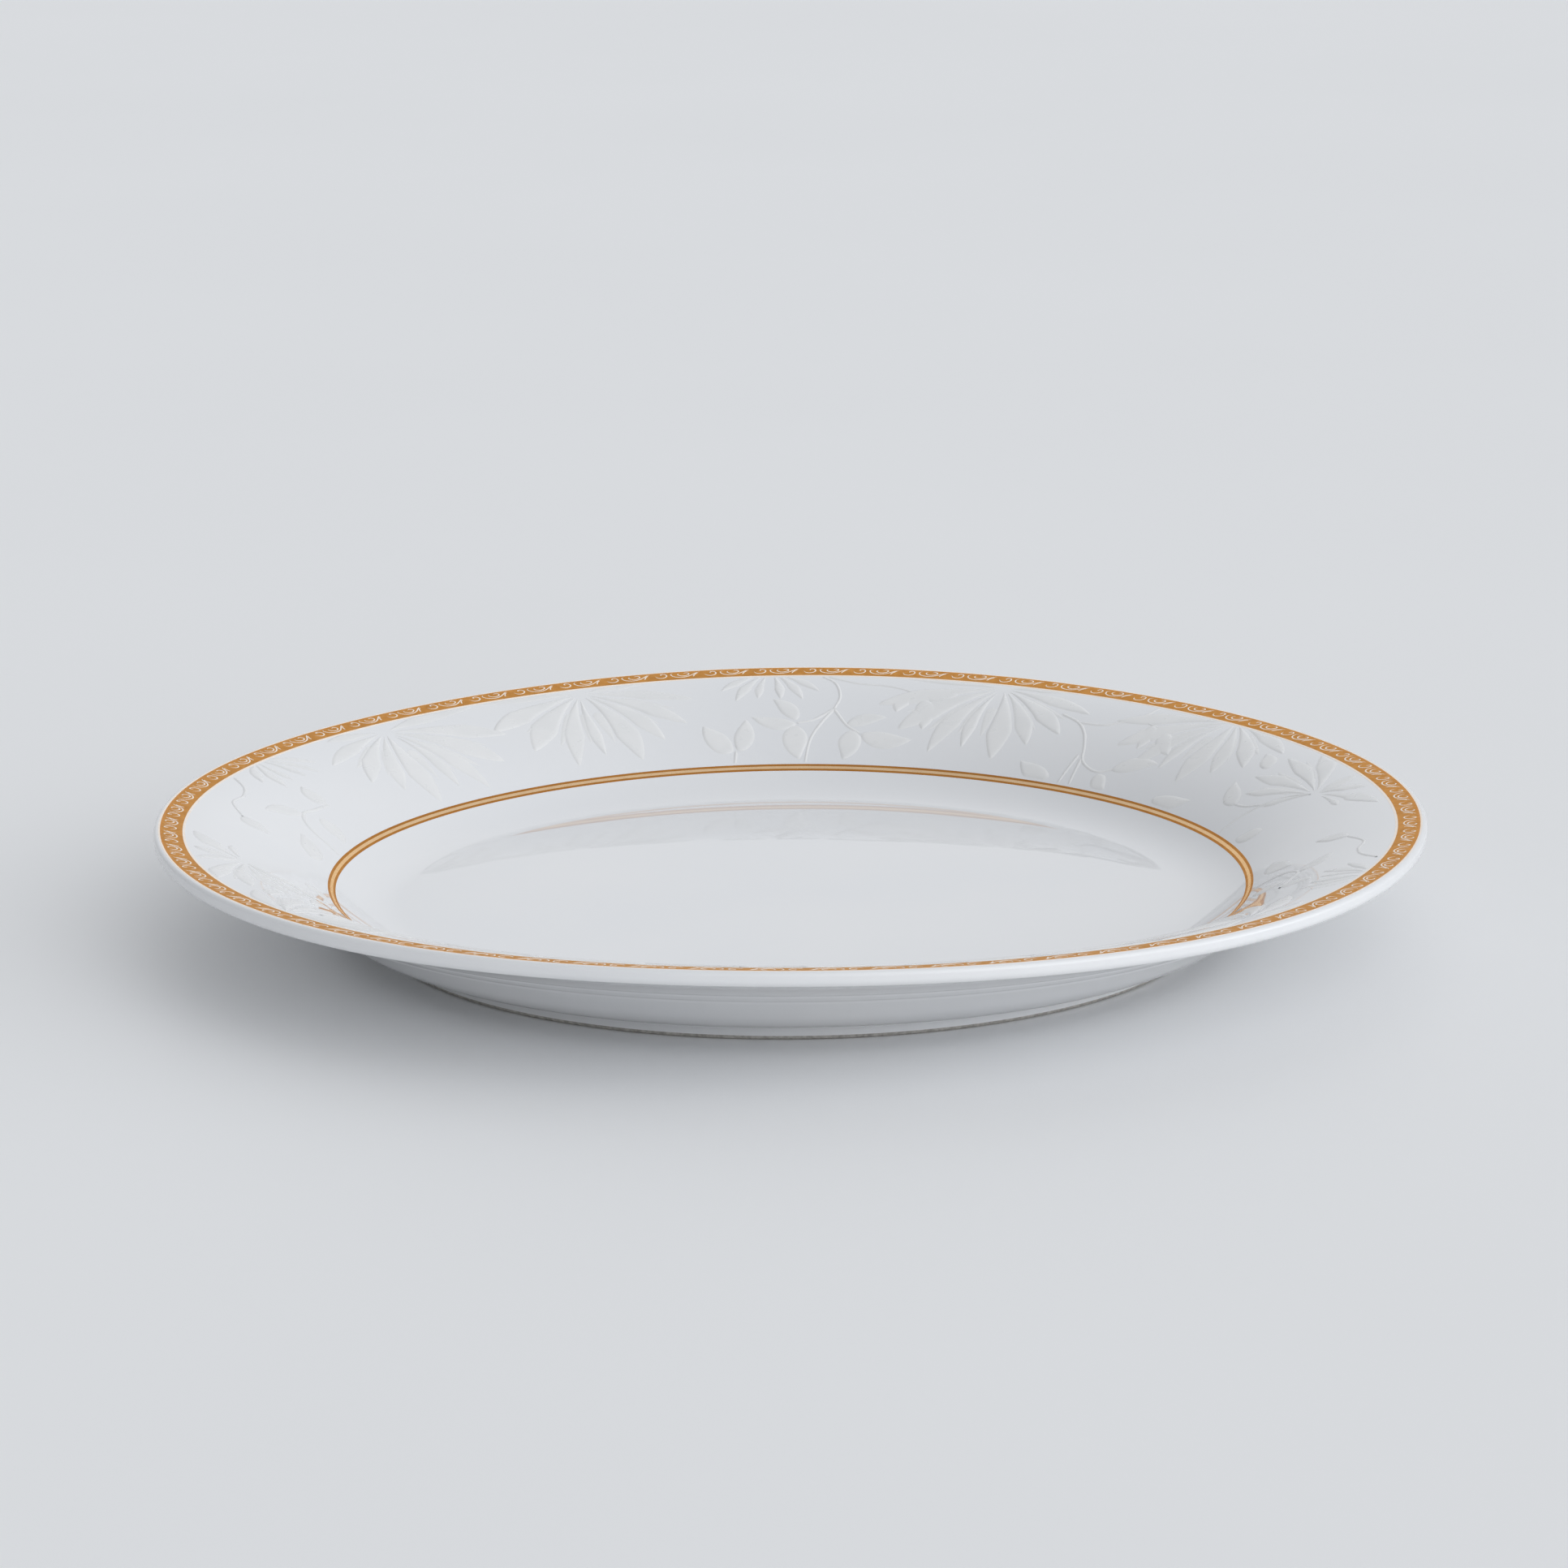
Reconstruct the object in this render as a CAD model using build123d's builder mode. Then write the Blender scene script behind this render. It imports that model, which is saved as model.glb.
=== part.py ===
"""Round porcelain serving platter with a gilt rim and a raised white leaf relief.

Millimetres, +Z up. The origin is on the axis, at the plane that the foot ring stands on.
Bearings are degrees counted anticlockwise from +X, as seen from above.
"""

import os
from math import asin, cos, radians, sin, sqrt

from build123d import *

# ---------------------------------------------------------------- driving dimensions
lip_radius = 152.7          # outermost point of the lip: a 12-inch platter
lip_height = 29.4           # top of the lip above the table
lip_depth = 3.5             # height of the lip's outer face
lip_top_round = 1.1
lip_bottom_round = 1.2

rim_curve = 75.6            # radius of the crowned rim, in section
rim_apex_radius = 158.1     # plan radius at which that curve would be level
verge_slope = 38.0          # degrees, where the rim turns into the well
well_curve = 28.4           # radius of the hollow between the verge and the flat floor
wall = 5.2                  # thickness of the floor and shoulder

foot_radius = 98.9          # outer edge of the foot ring where it stands
foot_width = 3.4            # width of the foot ring where it stands
foot_draft = 0.6            # how far each side of the foot ring leans over its height
foot_round = 0.8
foot_root_round = 0.8
bare_foot = 0.9             # height of the unglazed tip of the foot ring

glaze = 0.3                 # thickness of the glaze coat
film = 0.3                  # thickness of each gold film and of the cream scrolls
relief = 0.4                # height of the white relief

band_outer = 151.5          # plan radii of the gilt band
band_inner = 145.1
cream_edge = 0.45           # width of the cream line along the band's outer edge
dark_edge = 0.45            # width of the dark line inside it
inner_edge = 0.6            # width of the cream line along the band's inner edge
verge_line_outer = 111.4    # plan radii of the double gold line at the verge
verge_line_inner = 109.6
verge_dark = 0.65           # width of each dark stripe of the double line
relief_outer = 144.9        # the relief is trimmed to this ring
relief_inner = 111.9

scroll_count = 71
scroll_ring = 148.6         # plan radius of the circle that the scrolls are strung on
hook_bearing = 88.0         # one hook stands at this bearing
scroll_line = 0.4           # width of a scroll's line

# ---------------------------------------------------------------- shape of the section
rim_center = (rim_apex_radius, lip_height - sqrt(rim_curve**2 - (rim_apex_radius - lip_radius) ** 2))
verge_lean = radians(verge_slope)
verge = (rim_center[0] - rim_curve * sin(verge_lean), rim_center[1] + rim_curve * cos(verge_lean))
well_center = (verge[0] - well_curve * sin(verge_lean), verge[1] + well_curve * cos(verge_lean))
floor_height = well_center[1] - well_curve
under_height = floor_height - wall
lip_under_height = lip_height - lip_depth


def on_rim(radius, lift=0.0):
    """Section point of the rim's upper face at a plan radius, raised along its normal."""
    lean = asin((rim_center[0] - radius) / rim_curve)
    reach = rim_curve + lift
    return (rim_center[0] - reach * sin(lean), rim_center[1] + reach * cos(lean))


def on_hollow(radius, lift=0.0):
    """Section point of the hollow inside the verge at a plan radius, raised along its normal."""
    lean = asin((radius - well_center[0]) / well_curve)
    reach = well_curve - lift
    return (well_center[0] + reach * sin(lean), well_center[1] - reach * cos(lean))


def shoulder_under(lean, inset=0.0):
    """Section point of the shoulder's underside where it slopes by the given angle."""
    reach = well_curve + wall - inset
    return (well_center[0] + reach * sin(lean), well_center[1] - reach * cos(lean))


def arc_height(center, curve, radius):
    """Height of a crowned arc at a plan radius."""
    return center[1] + sqrt(curve**2 - (center[0] - radius) ** 2)


# The rim's underside is one arc, tangent to the shoulder's and ending under the lip.
under_start = shoulder_under(verge_lean)
under_run = (lip_radius - under_start[0], lip_under_height - under_start[1])
under_drop = under_run[0] * sin(verge_lean) - under_run[1] * cos(verge_lean)
under_curve = (under_run[0] ** 2 + under_run[1] ** 2) / (2 * under_drop)
under_center = (
    under_start[0] + under_curve * sin(verge_lean),
    under_start[1] - under_curve * cos(verge_lean),
)


def write(builder, name):
    """Label a finished piece and save it."""
    builder.part.label = name
    export_step(builder.part, f"parts/{name}.step")


os.makedirs("parts", exist_ok=True)

# ---------------------------------------------------------------- body and glaze
def platter_section(inset):
    """Half section of the platter, every face moved into the clay by the inset."""
    edge = lip_radius - inset
    lip_top = (edge, arc_height(rim_center, rim_curve - inset, edge))
    lip_bottom = (edge, arc_height(under_center, under_curve + inset, edge))
    shoulder_lean = asin((foot_radius + foot_draft - well_center[0]) / (well_curve + wall))
    foot_root = shoulder_under(shoulder_lean, inset)
    foot_edge = (foot_radius - inset, 0)
    foot_inner = (foot_radius - foot_width + inset, 0)
    foot_corner = (foot_inner[0] - foot_draft, under_height + inset)
    with BuildSketch() as section:
        with BuildLine():
            Polyline(
                (0, under_height + inset),
                (0, floor_height - inset),
                (well_center[0], floor_height - inset),
            )
            ThreePointArc(
                (well_center[0], floor_height - inset),
                on_hollow((well_center[0] + verge[0]) / 2, -inset),
                on_hollow(verge[0], -inset),
            )
            ThreePointArc(
                on_rim(verge[0], -inset),
                on_rim((verge[0] + lip_radius) / 2, -inset),
                lip_top,
            )
            Line(lip_top, lip_bottom)
            middle = (shoulder_under(verge_lean, inset)[0] + edge) / 2
            ThreePointArc(
                lip_bottom,
                (middle, arc_height(under_center, under_curve + inset, middle)),
                shoulder_under(verge_lean, inset),
            )
            ThreePointArc(
                shoulder_under(verge_lean, inset),
                shoulder_under((shoulder_lean + verge_lean) / 2, inset),
                foot_root,
            )
            Polyline(foot_root, foot_edge, foot_inner, foot_corner, (0, under_height + inset))
        make_face()
        rounds = {
            lip_top: lip_top_round - inset,
            lip_bottom: lip_bottom_round - inset,
            foot_root: foot_root_round + inset,
            foot_corner: foot_root_round + inset,
            foot_edge: foot_round - inset,
            foot_inner: foot_round - inset,
        }
        for corner, radius in rounds.items():
            fillet(section.vertices().sort_by_distance(corner)[0], radius)
    return section.sketch


# The glazed outline holds the fired clay, which is bare at the tip of the foot ring.
with BuildSketch() as half_outline:
    add(platter_section(0))

with BuildSketch() as foot_tip:
    add(platter_section(0))
    with Locations((foot_radius, bare_foot / 2)):
        Rectangle(4 * foot_width, bare_foot, mode=Mode.INTERSECT)

with BuildSketch() as half_clay:
    add(platter_section(glaze))
    add(foot_tip.sketch)

with BuildPart() as porcelain_body:
    with BuildSketch(Plane.XZ):
        add(half_clay.sketch)
    revolve(axis=Axis.Z)
write(porcelain_body, "porcelain_body")

with BuildSketch() as half_glaze:
    add(half_outline.sketch)
    add(half_clay.sketch, mode=Mode.SUBTRACT)
glaze_faces = half_glaze.sketch.faces().sort_by(SortBy.AREA)

with BuildPart() as glaze_coat:
    with BuildSketch(Plane.XZ):
        add(glaze_faces[-1])
    revolve(axis=Axis.Z)
write(glaze_coat, "glaze_coat")

with BuildPart() as foot_well_glaze:
    with BuildSketch(Plane.XZ):
        add(glaze_faces[-2])
    revolve(axis=Axis.Z)
write(foot_well_glaze, "foot_well_glaze")


# ---------------------------------------------------------------- gilding
def surface_ring(on_surface, inner, outer, bottom, top):
    """Ring that follows the platter's face between two plan radii and two lifts above it."""
    middle = (inner + outer) / 2
    with BuildPart() as ring:
        with BuildSketch(Plane.XZ):
            with BuildLine():
                ThreePointArc(
                    on_surface(inner, bottom),
                    on_surface(middle, bottom),
                    on_surface(outer, bottom),
                )
                Line(on_surface(outer, bottom), on_surface(outer, top))
                ThreePointArc(on_surface(outer, top), on_surface(middle, top), on_surface(inner, top))
                Line(on_surface(inner, top), on_surface(inner, bottom))
            make_face()
        revolve(axis=Axis.Z)
    return ring


ground_outer = band_outer - cream_edge - dark_edge
ground_inner = band_inner + inner_edge
gilding = {
    "rim_edge_line": (on_rim, ground_outer + dark_edge, band_outer),
    "rim_dark_line": (on_rim, ground_outer, ground_outer + dark_edge),
    "rim_gold_band": (on_rim, ground_inner, ground_outer),
    "rim_inner_line": (on_rim, band_inner, ground_inner),
    "verge_line_outer": (on_hollow, verge_line_outer - verge_dark, verge_line_outer),
    "verge_line_center": (on_hollow, verge_line_inner + verge_dark, verge_line_outer - verge_dark),
    "verge_line_inner": (on_hollow, verge_line_inner, verge_line_inner + verge_dark),
}
for gilding_name, (surface, inner_radius, outer_radius) in gilding.items():
    gilding_ring = surface_ring(surface, inner_radius, outer_radius, 0, film)
    write(gilding_ring, gilding_name)

# Cream tracery on the band: a large scroll and a small hook, repeated round the rim.
scroll_pitch = 360 / scroll_count
with BuildSketch() as tracery_plan:
    with PolarLocations(scroll_ring, scroll_count, start_angle=hook_bearing - scroll_pitch / 2):
        with BuildSketch(mode=Mode.PRIVATE) as large_scroll:
            with BuildLine():
                CenterArc((0, 0), 1.35, 20, -290)
            trace(line_width=scroll_line)
        add(large_scroll.sketch)
    with PolarLocations(scroll_ring, scroll_count, start_angle=hook_bearing):
        with BuildSketch(mode=Mode.PRIVATE) as small_hook:
            with BuildLine():
                CenterArc((0.2, 0), 1.2, 30, 230)
            trace(line_width=scroll_line)
        add(small_hook.sketch)

scroll_shell = surface_ring(on_rim, ground_inner, ground_outer, film, 2 * film)
with BuildPart() as rim_scrolls:
    with BuildSketch(Plane.XY.offset(lip_height - 3)):
        add(tracery_plan.sketch)
    extrude(amount=6)
    add(scroll_shell.part, mode=Mode.INTERSECT)
write(rim_scrolls, "rim_scrolls")


# ---------------------------------------------------------------- white relief
def plan(bearing, radius):
    """Plan point at a bearing and a distance from the axis."""
    return (radius * cos(radians(bearing)), radius * sin(radians(bearing)))


def leaf(start, tip, width):
    """Pointed leaf between two plan points."""
    along = Vector(tip) - Vector(start)
    side = Vector(-along.Y, along.X).normalized() * (width / 2)
    middle = (Vector(start) + Vector(tip)) * 0.5
    with BuildSketch() as blade:
        with BuildLine():
            ThreePointArc(start, middle + side, tip)
            ThreePointArc(tip, middle - side, start)
        make_face()
    return blade.sketch


def petal_tip(bearing, radius, direction, length):
    """Plan point reached from a flower's heart; 0 points at the axis, positive turns clockwise."""
    heart = Vector(plan(bearing, radius))
    inward = Vector(plan(bearing + 180, 1))
    return heart + inward.rotate(Axis.Z, -direction) * length


def stem_line(points):
    """Chain of arcs through plan points, each tangent to the one before."""
    if len(points) == 2:
        Line(*points)
        return
    heading = ThreePointArc(*points[:3]) % 1
    for start, end in zip(points[2:], points[3:]):
        heading = TangentArc(start, end, tangent=heading) % 1


# Each fan lists its petals as direction in degrees, length and width.
wide_fan = (
    (-95, 17, 4.2),
    (-70, 27, 4.6),
    (-50, 27, 5.4),
    (-33, 25, 5.6),
    (-14, 26, 7.2),
    (5, 23, 4.2),
    (21, 27, 5.6),
    (43, 28, 7.4),
    (63, 30, 6.6),
    (90, 29, 5.0),
)
hanging_fan = (
    (-46, 16, 3.2),
    (-27, 16, 3.2),
    (-8, 14, 3.2),
    (14, 14, 3.2),
    (31, 17, 3.4),
    (50, 16, 3.2),
)
open_fan = (
    (-112, 22, 5.0),
    (-95, 13, 3.6),
    (-150, 12, 4.0),
    (160, 12, 4.0),
    (112, 27, 5.4),
    (95, 28, 4.6),
    (76, 26, 5.0),
    (62, 22, 4.6),
    (40, 13, 3.6),
)

# Flowers over half the rim as bearing, radius of the heart, fan and mirroring.
flowers = (
    (155.8, 148.0, hanging_fan, 1),
    (137.5, 140.4, wide_fan, -1),
    (112.7, 141.9, wide_fan, 1),
    (91.9, 148.0, hanging_fan, 1),
    (66.9, 142.8, wide_fan, 1),
    (38.8, 146.4, wide_fan, 1),
    (13.0, 132.2, open_fan, 1),
)

# Leaves over half the rim as the bearing and radius of the base, those of the tip, and the width.
leaves = (
    (89.1, 124.5, 91.9, 133.2, 5.0),
    (89.1, 123.3, 94.6, 126.2, 4.6),
    (89.1, 122.8, 88.7, 112.5, 7.0),
    (83.1, 122.8, 78.3, 126.2, 4.4),
    (81.2, 120.2, 74.5, 119.2, 5.4),
    (82.5, 121.4, 83.1, 112.5, 6.4),
    (76.5, 136.3, 77.5, 128.2, 5.0),
    (75.0, 134.0, 73.8, 122.4, 6.2),
    (75.0, 135.1, 71.1, 139.2, 5.0),
    (97.2, 115.1, 100.5, 123.7, 6.2),
    (96.7, 115.1, 95.2, 125.3, 5.6),
    (46.8, 135.9, 45.4, 125.7, 5.0),
    (44.2, 134.3, 40.4, 126.2, 5.2),
    (46.1, 117.8, 40.5, 122.8, 5.2),
    (47.7, 116.0, 45.0, 112.6, 4.4),
    (54.1, 113.0, 59.4, 116.3, 4.8),
    (36.5, 113.4, 30.1, 116.0, 4.6),
    (22.0, 119.2, 26.9, 125.0, 5.0),
    (25.7, 131.7, 29.1, 137.0, 4.8),
    (11.1, 117.8, 14.1, 112.6, 5.0),
    (-3.1, 115.8, -9.0, 121.0, 5.6),
    (159.3, 122.6, 158.0, 131.0, 5.6),
    (165.0, 124.0, 169.0, 131.0, 5.4),
    (163.5, 121.0, 165.5, 113.0, 5.6),
    (174.1, 133.7, 176.5, 126.0, 5.4),
)

# Stems over half the rim, each a few bearing and radius pairs.
stems = (
    ((86.5, 144.8), (85.0, 140.7), (84.3, 134.1), (84.8, 128.8)),
    ((84.8, 128.8), (87.0, 124.9), (89.1, 123.6)),
    ((84.8, 128.8), (86.2, 123.5), (87.4, 118.2), (88.0, 111.5)),
    ((84.8, 128.8), (83.1, 123.1), (81.2, 120.2)),
    ((85.7, 144.3), (82.5, 140.9), (79.5, 140.1), (76.9, 138.0), (74.8, 134.1)),
    ((55.8, 131.7), (52.4, 132.2), (50.4, 134.9), (48.1, 136.5), (44.0, 134.3)),
    ((49.5, 136.0), (48.9, 140.9), (48.7, 145.0)),
    ((58.2, 134.1), (55.6, 131.7), (53.7, 127.9), (52.2, 123.1), (50.9, 118.7), (48.1, 116.6), (45.9, 118.2)),
    ((52.1, 120.6), (52.4, 111.5)),
    ((51.4, 119.4), (50.6, 111.5)),
    ((13.6, 131.7), (15.6, 128.4), (17.3, 123.5), (18.4, 117.8), (18.9, 111.5)),
    ((17.6, 122.4), (20.0, 120.0), (22.2, 119.2)),
    ((96.9, 115.2), (97.3, 111.5)),
    ((162.5, 144.0), (164.7, 139.4), (167.4, 137.5), (170.4, 138.0), (174.1, 133.7)),
    ((159.0, 122.6), (162.0, 123.2), (165.0, 124.0), (168.0, 120.0), (170.0, 111.5)),
)
stem_width = 1.1
half_turns = (0, 180)

with BuildSketch() as flower_plan:
    for turn in half_turns:
        for bearing, radius, fan, side in flowers:
            for direction, length, width in fan:
                tip = petal_tip(bearing + turn, radius, side * direction, length)
                add(leaf(plan(bearing + turn, radius), tip, width))

with BuildSketch() as leaf_plan:
    for turn in half_turns:
        for bearing, radius, tip_bearing, tip_radius, width in leaves:
            tip = plan(tip_bearing + turn, tip_radius)
            add(leaf(plan(bearing + turn, radius), tip, width))
    add(flower_plan.sketch, mode=Mode.SUBTRACT)

with BuildSketch() as stem_plan:
    for turn in half_turns:
        for route in stems:
            with BuildLine():
                stem_line([plan(bearing + turn, radius) for bearing, radius in route])
            trace(line_width=stem_width)
    add(flower_plan.sketch, mode=Mode.SUBTRACT)
    add(leaf_plan.sketch, mode=Mode.SUBTRACT)

relief_shell = surface_ring(on_rim, relief_inner, relief_outer, 0, relief)
relief_plans = {
    "relief_flowers": flower_plan,
    "relief_leaves": leaf_plan,
    "relief_stems": stem_plan,
}
for relief_name, relief_plan in relief_plans.items():
    with BuildPart() as relief_piece:
        with BuildSketch(Plane.XY.offset(floor_height)):
            add(relief_plan.sketch)
        extrude(amount=lip_height)
        add(relief_shell.part, mode=Mode.INTERSECT)
    write(relief_piece, relief_name)
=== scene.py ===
"""China serving platter in a plain studio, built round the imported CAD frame.

Sections and layouts are in millimetres; meshes are made in metres. Bearings are degrees counted
anticlockwise from +X, as seen from above, and plan radii are measured from the platter's axis.
"""

from math import asin, cos, hypot, pi, radians, sin, sqrt

import bmesh
import bpy
import numpy as np
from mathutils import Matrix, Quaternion, Vector


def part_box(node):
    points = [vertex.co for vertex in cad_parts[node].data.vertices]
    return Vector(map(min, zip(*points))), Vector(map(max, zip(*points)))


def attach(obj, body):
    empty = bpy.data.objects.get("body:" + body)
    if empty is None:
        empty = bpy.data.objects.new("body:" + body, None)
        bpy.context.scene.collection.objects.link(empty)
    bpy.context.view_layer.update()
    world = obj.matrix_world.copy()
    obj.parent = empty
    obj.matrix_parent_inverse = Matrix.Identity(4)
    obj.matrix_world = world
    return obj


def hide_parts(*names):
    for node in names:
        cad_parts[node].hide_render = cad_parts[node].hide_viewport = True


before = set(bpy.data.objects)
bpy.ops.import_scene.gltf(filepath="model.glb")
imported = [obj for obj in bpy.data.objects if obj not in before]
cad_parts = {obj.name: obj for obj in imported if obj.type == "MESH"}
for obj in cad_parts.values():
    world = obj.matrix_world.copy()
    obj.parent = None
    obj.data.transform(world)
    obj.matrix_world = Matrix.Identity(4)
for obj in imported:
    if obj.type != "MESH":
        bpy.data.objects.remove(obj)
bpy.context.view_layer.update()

MM = 0.001

# ---------------------------------------------------------------- sizes, in millimetres
lip_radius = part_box("glaze_coat")[1][0] / MM
band_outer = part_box("rim_edge_line")[1][0] / MM
ground_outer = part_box("rim_gold_band")[1][0] / MM
ground_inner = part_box("rim_inner_line")[1][0] / MM
inner_line_width = 0.6
band_inner = ground_inner - inner_line_width
lip_height = 29.4
lip_depth = 3.5             # height of the lip's outer face
lip_top_round = 1.1
lip_bottom_round = 1.7      # softer than the CAD's 1.2
rim_curve = 75.6            # radius of the crowned rim, in section
rim_apex_radius = 158.1     # plan radius of that curve's center
verge_lean = radians(38.0)  # how far the face leans where the rim meets the well
well_curve = 28.4           # radius of the hollow round the well, in section
wall = 5.2
foot_radius = 98.9
foot_width = 3.4
foot_draft = 0.9            # how far each side of the foot leans over its height; the CAD has 0.6
foot_round = 0.8
foot_root_round = 0.4       # sharper than the CAD's 0.8
bare_foot = 0.9             # height of the unglazed foot tip
glaze = 0.3
verge_radii = (109.6, 110.15, 110.85, 111.4)
turning_rings = (122.0, 126.0)
ring_width = 0.7
ring_depth = 0.12
relief_inner = 111.9
relief_outer = 144.9

# ---------------------------------------------------------------- section of the platter
rim_center = np.array((
    rim_apex_radius,
    lip_height - sqrt(rim_curve**2 - (rim_apex_radius - lip_radius) ** 2),
))
verge = rim_center + rim_curve * np.array((-sin(verge_lean), cos(verge_lean)))
well_center = verge + well_curve * np.array((-sin(verge_lean), cos(verge_lean)))
floor_height = well_center[1] - well_curve
under_height = floor_height - wall
lip_under_height = lip_height - lip_depth
shoulder_curve = well_curve + wall

# The rim's underside is one arc, tangent to the shoulder and ending under the lip.
under_start = well_center + shoulder_curve * np.array((sin(verge_lean), -cos(verge_lean)))
under_run = np.array((lip_radius, lip_under_height)) - under_start
under_curve = under_run @ under_run / (2 * (under_run[0] * sin(verge_lean) - under_run[1] * cos(verge_lean)))
under_center = under_start + under_curve * np.array((sin(verge_lean), -cos(verge_lean)))

# The rounds at the top and bottom of the lip.
top_round_center = np.array((
    lip_radius - lip_top_round,
    rim_center[1]
    + sqrt((rim_curve - lip_top_round) ** 2 - (rim_center[0] - lip_radius + lip_top_round) ** 2),
))
bottom_round_center = np.array((
    lip_radius - lip_bottom_round,
    under_center[1]
    + sqrt((under_curve + lip_bottom_round) ** 2 - (under_center[0] - lip_radius + lip_bottom_round) ** 2),
))


def toward(center, point, radius):
    """Point at a distance from the center, in the direction of another point."""
    way = np.asarray(point) - center
    return center + way * (radius / hypot(*way))


def arc(center, first, last, step=1.0):
    """Points along the shorter arc between two points of a circle, both ends included."""
    start = np.arctan2(first[1] - center[1], first[0] - center[0])
    turn = np.arctan2(last[1] - center[1], last[0] - center[0]) - start
    turn = (turn + pi) % (2 * pi) - pi
    radius = hypot(first[0] - center[0], first[1] - center[1])
    count = max(4, int(abs(turn) * radius / step) + 1)
    angles = start + turn * np.linspace(0, 1, count)
    return [(center[0] + radius * np.cos(a), center[1] + radius * np.sin(a)) for a in angles]


rim_edge = toward(rim_center, top_round_center, rim_curve)


def on_face(radius, lift=0.0):
    """Section points of the upper face at plan radii, raised along the normal. Takes arrays."""
    radius = np.asarray(radius, dtype=float)
    flat = radius <= well_center[0]
    hollow = ~flat & (radius < verge[0])
    crowned = (radius >= verge[0]) & (radius < rim_edge[0])
    lean = np.zeros_like(radius)
    lean[hollow] = np.arcsin((radius[hollow] - well_center[0]) / well_curve)
    lean[crowned] = np.arcsin((rim_center[0] - radius[crowned]) / rim_curve)
    rolled = radius >= rim_edge[0]
    lean[rolled] = -np.arcsin(np.minimum((radius[rolled] - top_round_center[0]) / lip_top_round, 1.0))
    height = np.full_like(radius, floor_height)
    height[hollow] = well_center[1] - well_curve * np.cos(lean[hollow])
    height[crowned] = rim_center[1] + rim_curve * np.cos(lean[crowned])
    height[rolled] = top_round_center[1] + lip_top_round * np.cos(lean[rolled])
    return radius - lift * np.sin(lean), height + lift * np.cos(lean)


def rounded(before, corner, after, radius, count=7):
    """Points of the round that eases a corner between two straight stretches."""
    back = np.asarray(before, dtype=float) - corner
    ahead = np.asarray(after, dtype=float) - corner
    back /= hypot(*back)
    ahead /= hypot(*ahead)
    half = np.arccos(np.clip(back @ ahead, -1, 1)) / 2
    center = np.asarray(corner) + (back + ahead) / np.linalg.norm(back + ahead) * (radius / sin(half))
    reach = radius / np.tan(half)
    return arc(center, corner + back * reach, corner + ahead * reach, step=radius * 2 / count)


def offset_path(path, distance):
    """The path moved sideways, to the left of its direction."""
    points = np.array(path)
    way = np.gradient(points, axis=0)
    way /= np.linalg.norm(way, axis=1)[:, None]
    return points + distance * np.stack((-way[:, 1], way[:, 0]), axis=1)


foot_lean = asin((foot_radius + foot_draft - well_center[0]) / shoulder_curve)
foot_root = well_center + shoulder_curve * np.array((sin(foot_lean), -cos(foot_lean)))
past_lean = foot_lean + 0.05    # a little further round, for the direction that the shoulder leaves in
past_root = well_center + shoulder_curve * np.array((sin(past_lean), -cos(past_lean)))
foot_edge = np.array((foot_radius, 0.0))
foot_inner = np.array((foot_radius - foot_width, 0.0))
foot_corner = np.array((foot_inner[0] - foot_draft, under_height))


def on_line(first, last, height):
    """Point of a straight stretch at a height."""
    share = (height - first[1]) / (last[1] - first[1])
    return np.asarray(first) + share * (np.asarray(last) - first)


def under_arc(last):
    """Points of the rim's underside up to the last one, closer together at the turning rings."""
    reach = 2.5 * ring_width
    plain_step = 2
    radii = [ring + share * reach for ring in turning_rings for share in np.linspace(-1, 1, 13)]
    plain = np.arange(under_start[0] + plain_step, last[0] - 1, plain_step)
    radii += [radius for radius in plain if min(abs(radius - ring) for ring in turning_rings) > reach]
    radii = np.array(sorted(radii) + [last[0]])
    return list(zip(radii, under_center[1] + np.sqrt(under_curve**2 - (radii - under_center[0]) ** 2)))


def back_and_face():
    """Glazed outline from the bare foot tip up the back, round the lip and over the face."""
    path = [on_line(foot_edge, foot_root, bare_foot)]
    path += rounded(foot_edge, foot_root, past_root, foot_root_round)
    path += arc(well_center, past_root, under_start)[1:]
    lip_foot = toward(under_center, bottom_round_center, under_curve)
    path = turned(path + under_arc(lip_foot))
    path += arc(bottom_round_center, lip_foot, (lip_radius, bottom_round_center[1]), step=0.2)[1:]
    path += arc(top_round_center, (lip_radius, top_round_center[1]), rim_edge, step=0.15)
    path += arc(rim_center, rim_edge, verge)[1:]
    path += arc(well_center, verge, (well_center[0], floor_height))[1:]
    path += [(radius, floor_height) for radius in np.linspace(well_center[0], 0, 24)[1:]]
    return np.array(path)


def thinned(points, every=3):
    """Every few points of a path, with both its ends."""
    return np.concatenate((points[:-1:every], points[-1:]))


def turned(path):
    """Points of the back with its two fine turning rings pressed in."""
    points = np.array(path)
    inward = offset_path(points, 1.0) - points
    depth = sum(np.exp(-(((points[:, 0] - radius) / ring_width) ** 2)) for radius in turning_rings)
    return list(points + inward * (ring_depth * depth)[:, None])


def foot_well():
    """Glazed outline inside the foot ring, from the axis to the bare foot tip."""
    path = [(0.0, under_height)]
    path += [(radius, under_height) for radius in np.linspace(0, foot_corner[0] - 2, 20)[1:]]
    path += rounded((0, under_height), foot_corner, foot_inner, foot_root_round)
    path += [on_line(foot_inner, foot_corner, bare_foot)]
    return np.array(path)


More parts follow.
